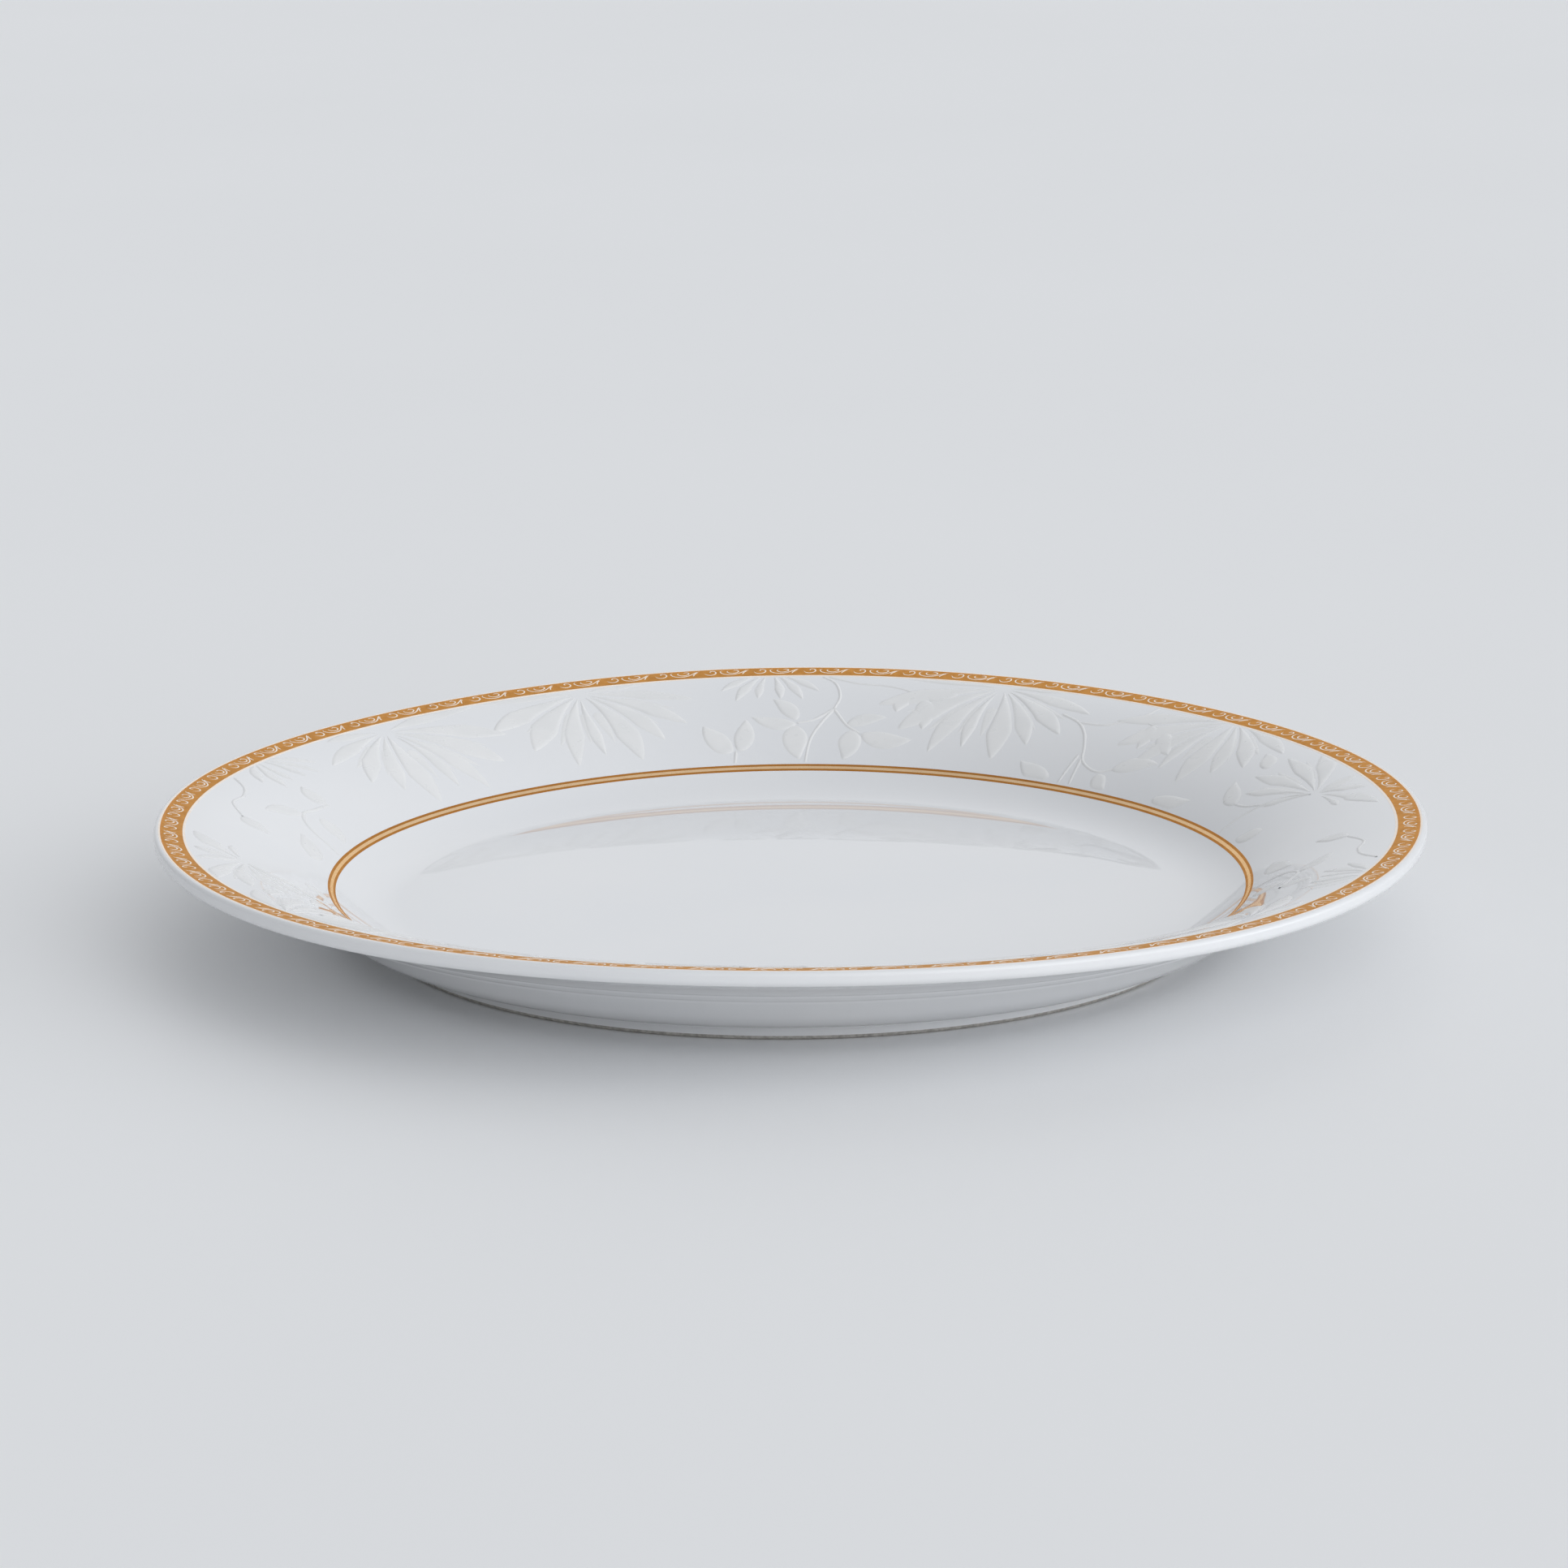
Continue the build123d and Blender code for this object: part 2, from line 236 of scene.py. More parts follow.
def clay_outline():
    """Closed outline of the clay: one glaze thickness inside the glaze, with a bare foot tip."""
    outer = thinned(offset_path(back_and_face(), glaze))
    inner = offset_path(foot_well(), glaze)
    outer[-1, 0] = inner[0, 0] = 0.0
    tip = [on_line(foot_inner, foot_corner, bare_foot)]
    tip += rounded(foot_corner, foot_inner, foot_edge, foot_round)
    tip += rounded(foot_inner, foot_edge, foot_root, foot_round)
    tip += [on_line(foot_edge, foot_root, bare_foot)]
    return np.concatenate((inner, np.array(tip), outer))


# ---------------------------------------------------------------- meshes
warp_height = 0.95          # how far the fired rim bows up at two sides and down at the others
warp_bearing = 78.5         # bearing of one of the high sides
warp_ripple = 0.4           # height of a finer four-fold waviness over it
warp_start = 80.0           # plan radius inside which the platter stays true
warp_growth = 1.3           # power by which the warp grows from there to the lip


def warped(points):
    """Points in millimetres after the slight warp of the fired rim."""
    points = np.array(points, dtype=float)
    radius = np.hypot(points[:, 0], points[:, 1])
    bearing = np.arctan2(points[:, 1], points[:, 0])
    share = np.clip((radius - warp_start) / (lip_radius - warp_start), 0, None) ** warp_growth
    share *= np.clip(points[:, 2] / under_height, 0, 1)
    saddle = warp_height * np.cos(2 * (bearing - radians(warp_bearing)))
    points[:, 2] += share * (saddle + warp_ripple * np.cos(4 * bearing))
    return points


def piece(name, points, faces, material, slot, *nodes, crease=35):
    """Smooth mesh piece riding on the one body, in place of the CAD nodes that it stands for."""
    mesh = bpy.data.meshes.new(name)
    mesh.from_pydata((warped(points) * MM).tolist(), [], faces)
    shape = bmesh.new()
    shape.from_mesh(mesh)
    bmesh.ops.recalc_face_normals(shape, faces=shape.faces)
    shape.to_mesh(mesh)
    shape.free()
    mesh.shade_smooth()
    mesh.set_sharp_from_angle(angle=radians(crease))
    mesh.materials.append(material)
    thing = bpy.data.objects.new(name, mesh)
    bpy.context.scene.collection.objects.link(thing)
    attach(thing, "root")
    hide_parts(*nodes)
    return thing


turns = 360                 # flat steps round a lathed piece


def lathe(outline):
    """Points and faces of a closed section outline turned about the axis."""
    points, rows = [], []
    for radius, height in outline:
        if radius < 1e-6:
            rows.append([len(points)] * turns)
            points.append((0.0, 0.0, height))
            continue
        rows.append(range(len(points), len(points) + turns))
        for k in range(turns):
            angle = 2 * pi * k / turns
            points.append((radius * cos(angle), radius * sin(angle), height))
    faces = []
    for row, above in zip(rows, rows[1:] + rows[:1]):
        for k in range(turns):
            after = (k + 1) % turns
            corners = dict.fromkeys((row[k], row[after], above[after], above[k]))
            if len(corners) > 2:
                faces.append(tuple(corners))
    return points, faces


sunk = 0.05                 # how deep the edges of applied pieces reach into the glaze
film_ease = 0.05            # how far out a film's edge slopes down into the glaze
edge_power = 1.6            # how steeply the sides of raised strokes rise


def film_ring(inner, outer, top, step=0.5):
    """Closed outline of a thin film on the upper face between two plan radii."""
    radii = np.linspace(inner, outer, max(4, int((outer - inner) / step)))
    middle = np.stack(on_face(radii, top), axis=1)
    start = np.stack(on_face(np.array([inner - film_ease]), -sunk), axis=1)
    stop = np.stack(on_face(np.array([outer + film_ease]), -sunk), axis=1)
    base = np.stack(on_face(radii, -sunk), axis=1)[::-1]
    return np.concatenate((start, middle, stop, base))


def raised_stroke(line, half_width, top, edge, tilt=0.0, crown=0.0, rings=None, across=8):
    """Raised ribbon on the face along a plan line, closed underneath.

    line is (n, 2) plan points, half_width n half widths, top the height in the middle. The sides
    rise within about the edge distance, tilt lifts the left side and crown domes it. Outside the two
    plan radii in rings it stays sunk in the glaze.
    """
    line = np.asarray(line, dtype=float)
    way = np.gradient(line, axis=0)
    way /= np.linalg.norm(way, axis=1)[:, None]
    side = np.stack((-way[:, 1], way[:, 0]), axis=1)
    shares = np.sin(pi / 2 * np.linspace(-1, 1, 2 * across + 1))
    width = np.asarray(half_width, dtype=float)[:, None]
    spread = line[:, None, :] + side[:, None, :] * (width * shares)[:, :, None]
    reach = np.hypot(spread[..., 0], spread[..., 1])
    inside = width * (1 - np.abs(shares))
    if rings:
        inside = np.clip(np.minimum(inside, np.minimum(reach - rings[0], rings[1] - reach)), 0, None)
    rise = 1 - np.exp(-((inside / edge) ** edge_power))
    form = top + tilt * shares + crown * (1 - shares**2)
    lift = form * rise - sunk * (1 - rise)
    radius, height = on_face(reach, lift)
    bearing = np.arctan2(spread[..., 1], spread[..., 0])
    skin = np.stack((radius * np.cos(bearing), radius * np.sin(bearing), height), axis=2)
    count, columns = shares.size, len(line)
    points = [skin[0, across]] + list(skin[1:-1].reshape(-1, 3)) + [skin[-1, across]]
    last = len(points) - 1

    def at(i, j):
        return 1 + (i - 1) * count + j

    faces = []
    for j in range(count - 1):
        faces.append((0, at(1, j), at(1, j + 1)))
        faces.append((at(columns - 2, j + 1), at(columns - 2, j), last))
    for i in range(1, columns - 2):
        for j in range(count - 1):
            faces.append((at(i, j), at(i + 1, j), at(i + 1, j + 1), at(i, j + 1)))
        faces.append((at(i, count - 1), at(i + 1, count - 1), at(i + 1, 0), at(i, 0)))
    faces.append((0, at(1, count - 1), at(1, 0)))
    faces.append((at(columns - 2, 0), at(columns - 2, count - 1), last))
    return points, faces


def joined(parts):
    """One list of points and faces from several."""
    points, faces = [], []
    for some_points, some_faces in parts:
        start = len(points)
        points += list(some_points)
        faces += [tuple(start + corner for corner in face) for face in some_faces]
    return points, faces


def smooth_line(points, step):
    """Catmull-Rom curve through plan points, sampled about every step."""
    points = np.asarray(points, dtype=float)
    ends = np.concatenate((2 * points[:1] - points[1:2], points, 2 * points[-1:] - points[-2:-1]))
    samples = []
    for a, b, c, d in zip(ends, ends[1:], ends[2:], ends[3:]):
        count = max(3, int(hypot(*(c - b)) / step))
        t = np.linspace(0, 1, count, endpoint=False)[:, None]
        samples.append(0.5 * (2 * b + (c - a) * t + (2 * a - 5 * b + 4 * c - d) * t**2
                              + (3 * b - a - 3 * c + d) * t**3))
    samples.append(points[-1:])
    return np.concatenate(samples)


def plan(bearing, radius):
    """Plan point at a bearing and plan radius."""
    return np.array((radius * cos(radians(bearing)), radius * sin(radians(bearing))))


# ---------------------------------------------------------------- materials
def new_material(name, color, roughness, metallic=0.0, **sockets):
    """Principled material, with its node tree and shader."""
    material = bpy.data.materials.new(name)
    material.use_nodes = True
    tree = material.node_tree
    shader = tree.nodes["Principled BSDF"]
    shader.inputs["Base Color"].default_value = (*color, 1)
    shader.inputs["Roughness"].default_value = roughness
    shader.inputs["Metallic"].default_value = metallic
    for socket, value in sockets.items():
        shader.inputs[socket.replace("_", " ")].default_value = value
    return material, tree, shader


def noise(tree, scale, detail, rough=0.5):
    """Noise texture in the piece's own coordinates."""
    coordinates = tree.nodes.new("ShaderNodeTexCoord")
    texture = tree.nodes.new("ShaderNodeTexNoise")
    texture.inputs["Scale"].default_value = scale
    texture.inputs["Detail"].default_value = detail
    texture.inputs["Roughness"].default_value = rough
    tree.links.new(coordinates.outputs["Object"], texture.inputs["Vector"])
    return texture.outputs["Fac"]


def vary_color(tree, shader, factor, first, second, low=0.35, high=0.65):
    """Base color that runs between two tones with a texture."""
    ramp = tree.nodes.new("ShaderNodeValToRGB")
    ramp.color_ramp.elements[0].position = low
    ramp.color_ramp.elements[1].position = high
    ramp.color_ramp.elements[0].color = (*first, 1)
    ramp.color_ramp.elements[1].color = (*second, 1)
    tree.links.new(factor, ramp.inputs["Fac"])
    tree.links.new(ramp.outputs["Color"], shader.inputs["Base Color"])


def vary_value(tree, shader, socket, factor, low, high):
    """A shader value that runs between two limits with a texture."""
    scale = tree.nodes.new("ShaderNodeMapRange")
    scale.inputs["From Min"].default_value = 0.3
    scale.inputs["From Max"].default_value = 0.7
    scale.inputs["To Min"].default_value = low
    scale.inputs["To Max"].default_value = high
    tree.links.new(factor, scale.inputs["Value"])
    tree.links.new(scale.outputs["Result"], shader.inputs[socket])


def bumps(tree, shader, *layers):
    """Chain of bump nodes; each layer is a height factor and its depth in metres."""
    normal = None
    for factor, depth in layers:
        bump = tree.nodes.new("ShaderNodeBump")
        bump.inputs["Strength"].default_value = 1.0
        bump.inputs["Distance"].default_value = depth
        tree.links.new(factor, bump.inputs["Height"])
        if normal:
            tree.links.new(normal, bump.inputs["Normal"])
        normal = bump.outputs["Normal"]
    tree.links.new(normal, shader.inputs["Normal"])


def glaze_material():
    """Clear glossy glaze over white porcelain, faintly uneven as a fired glaze is."""
    material, tree, shader = new_material("clear_glaze", (0.80, 0.81, 0.82), 0.07, IOR=1.52)
    vary_color(tree, shader, noise(tree, 18, 3), (0.795, 0.805, 0.82), (0.815, 0.82, 0.828))
    vary_value(tree, shader, "Roughness", noise(tree, 60, 2), 0.01, 0.025)
    bumps(tree, shader, (noise(tree, 22, 1), 0.00006), (noise(tree, 200, 1), 0.0000006))
    return material


def clay_material_with_painted_shade():
    """Bare fired porcelain: matte, slightly warm and grainy. Its grey-brown tone is partly the bare foot's
    own colour and partly painted shade of the contact shadow and crease at the foot.
    """
    # The tones here are darker than bare porcelain, partly to paint in the contact shadow along the foot
    # tip.
    material, tree, shader = new_material("bisque_porcelain", (0.42, 0.40, 0.37), 0.85)
    vary_color(tree, shader, noise(tree, 900, 4), (0.32, 0.305, 0.28), (0.50, 0.48, 0.45))
    bumps(tree, shader, (noise(tree, 2500, 3), 0.00003))
    return material


def enamel_material():
    """White relief enamel: a little warmer and softer than the glaze round it."""
    material, tree, shader = new_material("white_enamel", (0.81, 0.81, 0.80), 0.3, IOR=1.45)
    vary_color(tree, shader, noise(tree, 120, 3), (0.80, 0.803, 0.80), (0.83, 0.83, 0.825))
    vary_value(tree, shader, "Roughness", noise(tree, 300, 2), 0.26, 0.36)
    bumps(tree, shader, (noise(tree, 180, 1), 0.000006))
    return material


def gold_material(name, light, dark, roughness):
    """Burnished gold film: the tone and polish drift slightly, with a fine brushed grain."""
    material, tree, shader = new_material(name, light, roughness, 0.85, Specular_Tint=(1.0, 0.78, 0.5, 1))
    vary_color(tree, shader, noise(tree, 260, 3, 0.6), dark, light, 0.3, 0.7)
    vary_value(tree, shader, "Roughness", noise(tree, 700, 3), roughness - 0.06, roughness + 0.08)
    bumps(tree, shader, (noise(tree, 3000, 3, 0.7), 0.000006))
    return material


def cream_material():
    """Fine cream enamel line, raised and glossy."""
    material, tree, shader = new_material("cream_enamel", (0.97, 0.84, 0.71), 0.2)
    vary_color(tree, shader, noise(tree, 400, 3), (0.95, 0.81, 0.67), (0.98, 0.87, 0.75))
    bumps(tree, shader, (noise(tree, 2000, 2), 0.000008))
    return material


clear_glaze = glaze_material()
bisque_with_painted_shade = clay_material_with_painted_shade()
white_enamel = enamel_material()
band_gold = gold_material("band_gold", (0.58, 0.27, 0.07), (0.49, 0.22, 0.055), 0.38)
dark_gold = gold_material("dark_gold", (0.58, 0.25, 0.055), (0.52, 0.21, 0.045), 0.34)
pale_gold = gold_material("pale_gold", (0.97, 0.70, 0.43), (0.94, 0.65, 0.38), 0.28)
cream = cream_material()

# ---------------------------------------------------------------- body and glaze
coat = back_and_face()
coat_outline = np.concatenate((coat, thinned(offset_path(coat, glaze))[::-1]))
coat_outline[len(coat) - 1, 0] = coat_outline[len(coat), 0] = 0.0
piece("glaze_over_face_and_back", *lathe(coat_outline), clear_glaze, "clear_glaze", "glaze_coat")

well_coat = foot_well()
well_outline = np.concatenate((well_coat, offset_path(well_coat, glaze)[::-1]))
well_outline[-1, 0] = 0.0
piece("glaze_inside_foot", *lathe(well_outline), clear_glaze, "clear_glaze", "foot_well_glaze")
# The bare foot tip of this body carries painted contact shade in its darkened clay tone.
piece("fired_body", *lathe(clay_outline()), bisque_with_painted_shade, "bisque_porcelain", "porcelain_body")

# ---------------------------------------------------------------- gilding
film_top = 0.03             # height of the gilding over the glaze
dark_outer = ground_outer + 0.45
films = {
    "rim_cream_edge": (dark_outer, band_outer, cream, "cream_enamel", "rim_edge_line"),
    "rim_dark_edge": (ground_outer, dark_outer, dark_gold, "dark_gold", "rim_dark_line"),
    "rim_gold_ground": (ground_inner, ground_outer, band_gold, "band_gold", "rim_gold_band"),
    "rim_cream_inner": (band_inner, ground_inner, cream, "cream_enamel", "rim_inner_line"),
    "verge_gold_inner": (*verge_radii[:2], dark_gold, "dark_gold", "verge_line_inner"),
    "verge_gold_center": (*verge_radii[1:3], pale_gold, "pale_gold", "verge_line_center"),
    "verge_gold_outer": (*verge_radii[2:], dark_gold, "dark_gold", "verge_line_outer"),
}
for film_name, (inner, outer, material, slot, node) in films.items():
    piece(film_name, *lathe(film_ring(inner, outer, film_top)), material, slot, node, crease=50)

# Cream tracery, repeated round the band. Its strokes are drawn flat in millimetres, x clockwise
# along the rim and y towards the axis, from the middle of the large scroll.
scroll_count = 71
scroll_ring = 148.6
scroll_bearing = 85.8
scroll_half = 0.3           # half width of a stroke
scroll_end = 0.45           # share of that width left at its ends
scroll_rise = 0.05          # its height over the gilding
scroll_edge = 0.12          # width over which its sides rise
scroll_strokes = (
    ((-2.0, -1.6), (-2.7, -0.8), (-2.3, 0.6), (-1.1, 1.4), (0.4, 1.5), (1.9, 0.9), (3.2, -0.2),
     (4.2, -1.2), (5.0, -1.6)),
    ((-0.5, -1.3), (-0.9, -0.4), (-0.2, 0.5), (0.9, 0.6), (1.9, -0.1), (2.1, -1.0), (1.4, -1.5),
     (0.7, -1.1)),
    ((3.0, 1.5), (3.3, 0.6), (3.9, -0.4), (4.5, -0.9)),
    ((-7.0, -0.1), (-6.5, 1.0), (-5.5, 1.4), (-4.4, 0.9), (-3.9, -0.1), (-4.2, -1.2), (-5.0, -1.4),
     (-5.4, -0.8), (-5.1, -0.4)),
)


def scroll_line(stroke, turn):
    """Plan line of one stroke of the tracery at one repeat."""
    across, inward = smooth_line(stroke, 0.35).T
    radius = scroll_ring - inward
    bearing = radians(scroll_bearing + turn) - across / scroll_ring
    return np.stack((radius * np.cos(bearing), radius * np.sin(bearing)), axis=1)


scrolls = []
for repeat in range(scroll_count):
    for stroke in scroll_strokes:
        line = scroll_line(stroke, 360 * repeat / scroll_count)
        share = np.linspace(0, 1, len(line))
        half = scroll_half * np.minimum(1, scroll_end + 4 * share * (1 - share))
        scrolls.append(raised_stroke(line, half, film_top + scroll_rise, scroll_edge, across=3))
piece("rim_scroll_tracery", *joined(scrolls), cream, "cream_enamel", "rim_scrolls", crease=80)

# ---------------------------------------------------------------- white relief
# Each fan lists its petals as direction in degrees, length and width; direction 0 points at the
# axis and positive directions turn clockwise.
wide_fan = (
    (-95, 17, 4.2), (-70, 27, 4.6), (-50, 27, 5.4), (-33, 25, 5.6), (-14, 26, 7.2), (5, 23, 4.2),
    (21, 27, 5.6), (43, 28, 7.4), (63, 30, 6.6), (90, 29, 5.0),
)
hanging_fan = (
    (-46, 16, 3.2), (-27, 16, 3.2), (-8, 14, 3.2), (14, 14, 3.2), (31, 17, 3.4), (50, 16, 3.2),
)
open_fan = (
    (-112, 22, 5.0), (-95, 13, 3.6), (-150, 12, 4.0), (160, 12, 4.0), (112, 27, 5.4),
    (95, 28, 4.6), (76, 26, 5.0), (62, 22, 4.6), (40, 13, 3.6),
)

# Flowers over half the rim as bearing, radius of the heart, fan and mirroring.
flowers = (
    (155.8, 148.0, hanging_fan, 1),
    (137.5, 140.4, wide_fan, -1),
    (112.7, 141.9, wide_fan, 1),
    (91.9, 148.0, hanging_fan, 1),
    (66.9, 142.8, wide_fan, 1),
    (38.8, 146.4, wide_fan, 1),
    (13.0, 132.2, open_fan, 1),
)

# Leaves over half the rim as the bearing and radius of the base, those of the tip, and the width.
leaves = (
    (89.1, 124.5, 91.9, 133.2, 5.0),
    (89.1, 123.3, 94.6, 126.2, 4.6),
    (89.1, 122.8, 88.7, 112.5, 7.0),
    (83.1, 122.8, 78.3, 126.2, 4.4),
    (81.2, 120.2, 74.5, 119.2, 5.4),
    (82.5, 121.4, 83.1, 112.5, 6.4),
    (76.5, 136.3, 77.5, 128.2, 5.0),
    (75.0, 134.0, 73.8, 122.4, 6.2),
    (75.0, 135.1, 71.1, 139.2, 5.0),
    (97.2, 115.1, 100.5, 123.7, 6.2),
    (96.7, 115.1, 95.2, 125.3, 5.6),
    (46.8, 135.9, 45.4, 125.7, 5.0),
    (44.2, 134.3, 40.4, 126.2, 5.2),
    (46.1, 117.8, 40.5, 122.8, 5.2),
    (47.7, 116.0, 45.0, 112.6, 4.4),
    (54.1, 113.0, 59.4, 116.3, 4.8),
    (36.5, 113.4, 30.1, 116.0, 4.6),
    (22.0, 119.2, 26.9, 125.0, 5.0),
    (25.7, 131.7, 29.1, 137.0, 4.8),
    (11.1, 117.8, 14.1, 112.6, 5.0),
    (-3.1, 115.8, -9.0, 121.0, 5.6),
    (159.3, 122.6, 158.0, 131.0, 5.6),
    (165.0, 124.0, 169.0, 131.0, 5.4),
    (163.5, 121.0, 165.5, 113.0, 5.6),
    (174.1, 133.7, 176.5, 126.0, 5.4),
)

# Stems over half the rim, each a few bearing and radius pairs.
stems = (
    ((86.5, 144.8), (85.0, 140.7), (84.3, 134.1), (84.8, 128.8)),
    ((84.8, 128.8), (87.0, 124.9), (89.1, 123.6)),
    ((84.8, 128.8), (86.2, 123.5), (87.4, 118.2), (88.0, 111.5)),
    ((84.8, 128.8), (83.1, 123.1), (81.2, 120.2)),
    ((85.7, 144.3), (82.5, 140.9), (79.5, 140.1), (76.9, 138.0), (74.8, 134.1)),
    ((55.8, 131.7), (52.4, 132.2), (50.4, 134.9), (48.1, 136.5), (44.0, 134.3)),
    ((49.5, 136.0), (48.9, 140.9), (48.7, 145.0)),
    ((58.2, 134.1), (55.6, 131.7), (53.7, 127.9), (52.2, 123.1), (50.9, 118.7), (48.1, 116.6),
     (45.9, 118.2)),
    ((52.1, 120.6), (52.4, 111.5)),
    ((51.4, 119.4), (50.6, 111.5)),
    ((13.6, 131.7), (15.6, 128.4), (17.3, 123.5), (18.4, 117.8), (18.9, 111.5)),
    ((17.6, 122.4), (20.0, 120.0), (22.2, 119.2)),
    ((96.9, 115.2), (97.3, 111.5)),
    ((162.5, 144.0), (164.7, 139.4), (167.4, 137.5), (170.4, 138.0), (174.1, 133.7)),
    ((159.0, 122.6), (162.0, 123.2), (165.0, 124.0), (168.0, 120.0), (170.0, 111.5)),
)
half_turns = (0, 180)
relief_top = 0.15           # height of the relief's flats over the glaze
relief_edge = 0.45          # width over which its edges rise
relief_tilt = 0.04          # how far one side of a petal or leaf is lifted
relief_crown = 0.04         # how far its middle is domed
thinnest = 0.02             # least half width of any relief stroke

petal_gap = 0.3             # ground left between two petals
petal_fullest = 0.53        # share of its length at which a petal is widest
petal_blunt = 0.7           # under 1 the ends are blunter
petal_spread = 1.1          # factor on the widths listed in the fans above
petal_reach = 1.1           # factor on their lengths
petal_bow = 0.05            # share of its length by which a petal bows
petal_step = 0.03           # petals rise by this from one to the next, in threes

# A second, lower tip shows between two long petals that stand close together.
between_turn = 24           # widest angle between such petals, in degrees
between_length = 20         # shortest of such petals
between_reach = 0.88        # its length, as a share of the shorter petal's
between_half = 1.7
between_blunt = 0.8
between_start = 0.4         # share of its length, under them, that isn't drawn
between_drop = 0.07

leaf_bow = 0.08
leaf_fullest = 0.42
leaf_blunt = 0.8
leaf_rise = 0.04            # height of the leaves over the relief's flats
stem_half = (0.62, 0.48)    # half widths at the two ends of a stem
stem_rise = 0.1
stem_edge = 0.35


def blade_half(distance, length, width, fullest, blunt):
    """Half widths of a petal or leaf, pointed at both ends, at distances from its base."""
    share = np.clip(distance / length, 0, 1)
    return width / 2 * np.abs(np.sin(pi * share ** (np.log(0.5) / np.log(fullest)))) ** blunt


def bowed(base, tip, bow, count):
    """Plan line from base to tip, bowed to its left by a share of its length."""
    share = np.linspace(0, 1, count)[:, None]
    run = tip - base
    side = np.array((-run[1], run[0]))
    return base + run * share + side * (4 * bow * share * (1 - share))


def relief_stroke(line, width, *form, **more):
    """Raised stroke that shows between the two gold rings, in a list that may be empty."""
    margin, fewest = 2, 6
    radius = np.hypot(line[:, 0], line[:, 1])
    near = (radius > relief_inner - margin) & (radius < relief_outer + margin)
    if near.sum() < fewest:
        return []
    rings = (relief_inner, relief_outer)
    return [raised_stroke(line[near], width[near], *form, rings=rings, **more)]


def petal_line(bearing, radius, direction, length, bow):
    """Bowed plan line of a petal from the heart of its flower."""
    heart = plan(bearing, radius)
    way = plan(bearing + 180 - direction, 1.0)
    return bowed(heart, heart + way * length, bow, max(12, int(length * 1.1)))


def petal_half(fan, order, distance):
    """Half widths of one petal of a fan, kept clear of its neighbours near the heart."""
    direction, length, width = fan[order]
    half = blade_half(distance, length, width, petal_fullest, petal_blunt)
    for beside, beside_length, beside_width in fan[:order] + fan[order + 1:]:
        turn = radians(abs((beside - direction + 180) % 360 - 180))
        spacing = 2 * distance * sin(turn / 2)
        taken = blade_half(distance, beside_length, beside_width, petal_fullest, petal_blunt)
        free = np.maximum(spacing * width / (width + beside_width), spacing - taken)
        half = np.minimum(half, free - petal_gap / 2)
    return np.maximum(half, thinnest)


petals = []
for turn in half_turns:
    for bearing, radius, drawn_fan, side in flowers:
        fan = tuple((way, petal_reach * length, petal_spread * width) for way, length, width in drawn_fan)
        for order, (direction, length, width) in enumerate(fan):
            bow = -petal_bow * side * np.sign(direction)
            line = petal_line(bearing + turn, radius, side * direction, length, bow)
            half = petal_half(fan, order, np.linspace(0, length, len(line)))
            top = relief_top + petal_step * (order % 3)
            tilt = relief_tilt if order % 2 else -relief_tilt
            petals += relief_stroke(line, half, top, relief_edge, tilt, relief_crown)
        for one, other in zip(fan, fan[1:]):
            shorter = min(one[1], other[1])
            if other[0] - one[0] > between_turn or shorter < between_length:
                continue
            direction, length = (one[0] + other[0]) / 2, between_reach * shorter
            line = petal_line(bearing + turn, radius, side * direction, length, 0.0)
            share = np.linspace(0, 1, len(line))
            half = np.maximum(between_half * np.sin(pi * share) ** between_blunt, thinnest)
            shown = share > between_start
            petals += relief_stroke(line[shown], half[shown], relief_top - between_drop, relief_edge)
piece("relief_flower_petals", *joined(petals), white_enamel, "white_enamel", "relief_flowers", crease=80)

blades = []
for turn in half_turns:
    for order, (bearing, radius, tip_bearing, tip_radius, width) in enumerate(leaves):
        base, tip = plan(bearing + turn, radius), plan(tip_bearing + turn, tip_radius)
        bow = leaf_bow if order % 2 else -leaf_bow
        line = bowed(base, tip, bow, max(12, int(1.5 * hypot(*(tip - base)))))
        share = np.linspace(0, 1, len(line))
        half = np.maximum(blade_half(share, 1.0, width, leaf_fullest, leaf_blunt), thinnest)
        blades += relief_stroke(line, half, relief_top + leaf_rise, relief_edge, relief_tilt, relief_crown)
piece("relief_leaf_blades", *joined(blades), white_enamel, "white_enamel", "relief_leaves", crease=80)

stalks = []
for turn in half_turns:
    for route in stems:
        line = smooth_line([plan(bearing + turn, radius) for bearing, radius in route], 0.6)
        half = np.linspace(*stem_half, len(line))
        stalks += relief_stroke(line, half, relief_top + stem_rise, stem_edge, across=4)
piece("relief_stalks", *joined(stalks), white_enamel, "white_enamel", "relief_stems", crease=80)

# ---------------------------------------------------------------- floor
floor_material, floor_tree, floor_shader = new_material("pale_floor", (0.90, 0.905, 0.91), 0.6)
vary_color(floor_tree, floor_shader, noise(floor_tree, 3, 3), (0.895, 0.90, 0.905), (0.905, 0.91, 0.915))
bpy.ops.mesh.primitive_circle_add(vertices=96, radius=9, fill_type="NGON")
floor = bpy.context.object
floor.name = "studio_floor"
floor.data.materials.append(floor_material)

# ---------------------------------------------------------------- camera
rim_middle = Vector((0, 0, lip_height * MM))
view_elevation = radians(13.88)
view_distance = 1.515
view_roll = radians(-0.42)
aim_left = 0.00141
aim_up = 0.00606

away = Vector((0, -cos(view_elevation), sin(view_elevation)))
view_up = Vector((0, sin(view_elevation), cos(view_elevation)))
camera_data = bpy.data.cameras.new("camera")
camera_data.lens = 144.5
camera_data.sensor_width = 36
camera_data.clip_end = 50
camera = bpy.data.objects.new("camera", camera_data)
camera.location = rim_middle + away * view_distance
aim = rim_middle + view_up * aim_up - Vector((aim_left, 0, 0))
look = (aim - camera.location).to_track_quat("-Z", "Y")
camera.rotation_euler = (look @ Quaternion((0, 0, 1), view_roll)).to_euler()
bpy.context.scene.collection.objects.link(camera)
bpy.context.scene.camera = camera
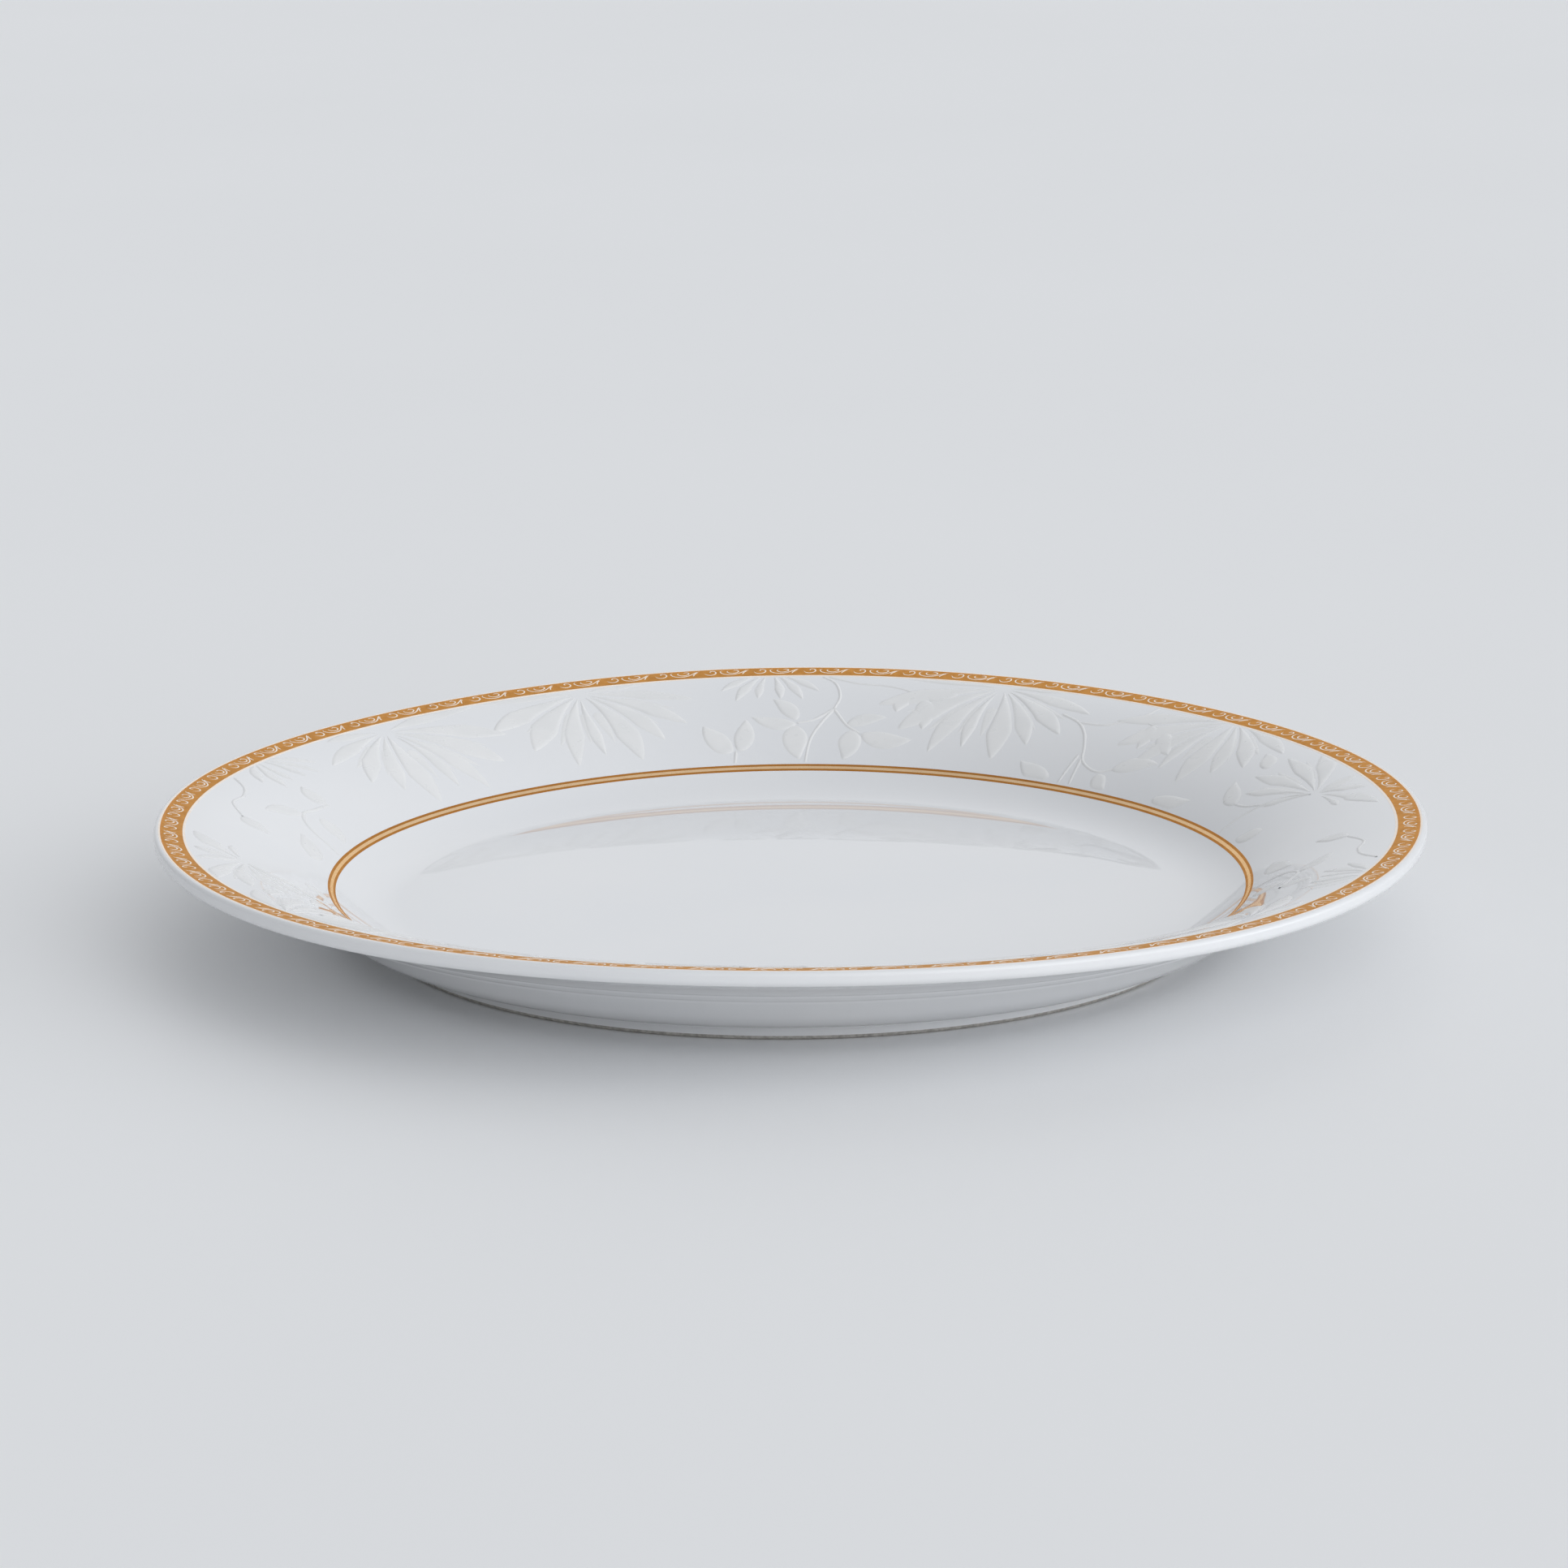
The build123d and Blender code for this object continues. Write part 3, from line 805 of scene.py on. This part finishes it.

# ---------------------------------------------------------------- light
# The studio is one large soft tent: an even glow, and broad brighter lobes round a few directions.
# Each lobe is a bearing, an elevation, a sharpness and a strength. The glow and some strengths were
# fitted to tones of the photo and rounded, and the others were set one by one.
tent_color = (0.95, 0.97, 1.0)
tent_glow = 0.43
tent_lobes = (
    (0, 2, 20, 2.0),
    (0, 18, 8, 0.6),
    (-45, 2, 20, 1.0),
    (-45, 18, 8, 1.3),
    (-45, 50, 8, 0.6),
    (-90, 18, 8, 0.37),
    (90, 18, 8, 0.5),
    (90, 50, 8, 0.33),
)


def math_node(tree, operation, first, second):
    """Math node between a linked value and a constant."""
    node = tree.nodes.new("ShaderNodeMath")
    node.operation = operation
    node.inputs[1].default_value = second
    tree.links.new(first, node.inputs[0])
    return node.outputs[0]


def studio_tent():
    """World lit by the glow and the lobes, each a bearing, elevation, sharpness and strength."""
    world = bpy.data.worlds.new("studio_tent")
    world.use_nodes = True
    tree = world.node_tree
    glow = tree.nodes["Background"]
    glow.inputs["Color"].default_value = (*tent_color, 1)
    glow.inputs["Strength"].default_value = tent_glow
    direction = tree.nodes.new("ShaderNodeTexCoord").outputs["Generated"]
    total = glow.outputs[0]
    for bearing, elevation, sharpness, strength in tent_lobes:
        facing = tree.nodes.new("ShaderNodeVectorMath")
        facing.operation = "DOT_PRODUCT"
        flat, rise = cos(radians(elevation)), sin(radians(elevation))
        facing.inputs[1].default_value = (flat * cos(radians(bearing)), flat * sin(radians(bearing)), rise)
        tree.links.new(direction, facing.inputs[0])
        front = math_node(tree, "MAXIMUM", facing.outputs["Value"], 0.0)
        lobe = math_node(tree, "POWER", front, sharpness)
        scaled = math_node(tree, "MULTIPLY", lobe, strength)
        light = tree.nodes.new("ShaderNodeBackground")
        light.inputs["Color"].default_value = (*tent_color, 1)
        tree.links.new(scaled, light.inputs["Strength"])
        both = tree.nodes.new("ShaderNodeAddShader")
        tree.links.new(total, both.inputs[0])
        tree.links.new(light.outputs[0], both.inputs[1])
        total = both.outputs[0]
    tree.links.new(total, tree.nodes["World Output"].inputs["Surface"])
    return world


bpy.context.scene.world = studio_tent()
bpy.context.scene.view_settings.view_transform = "Standard"
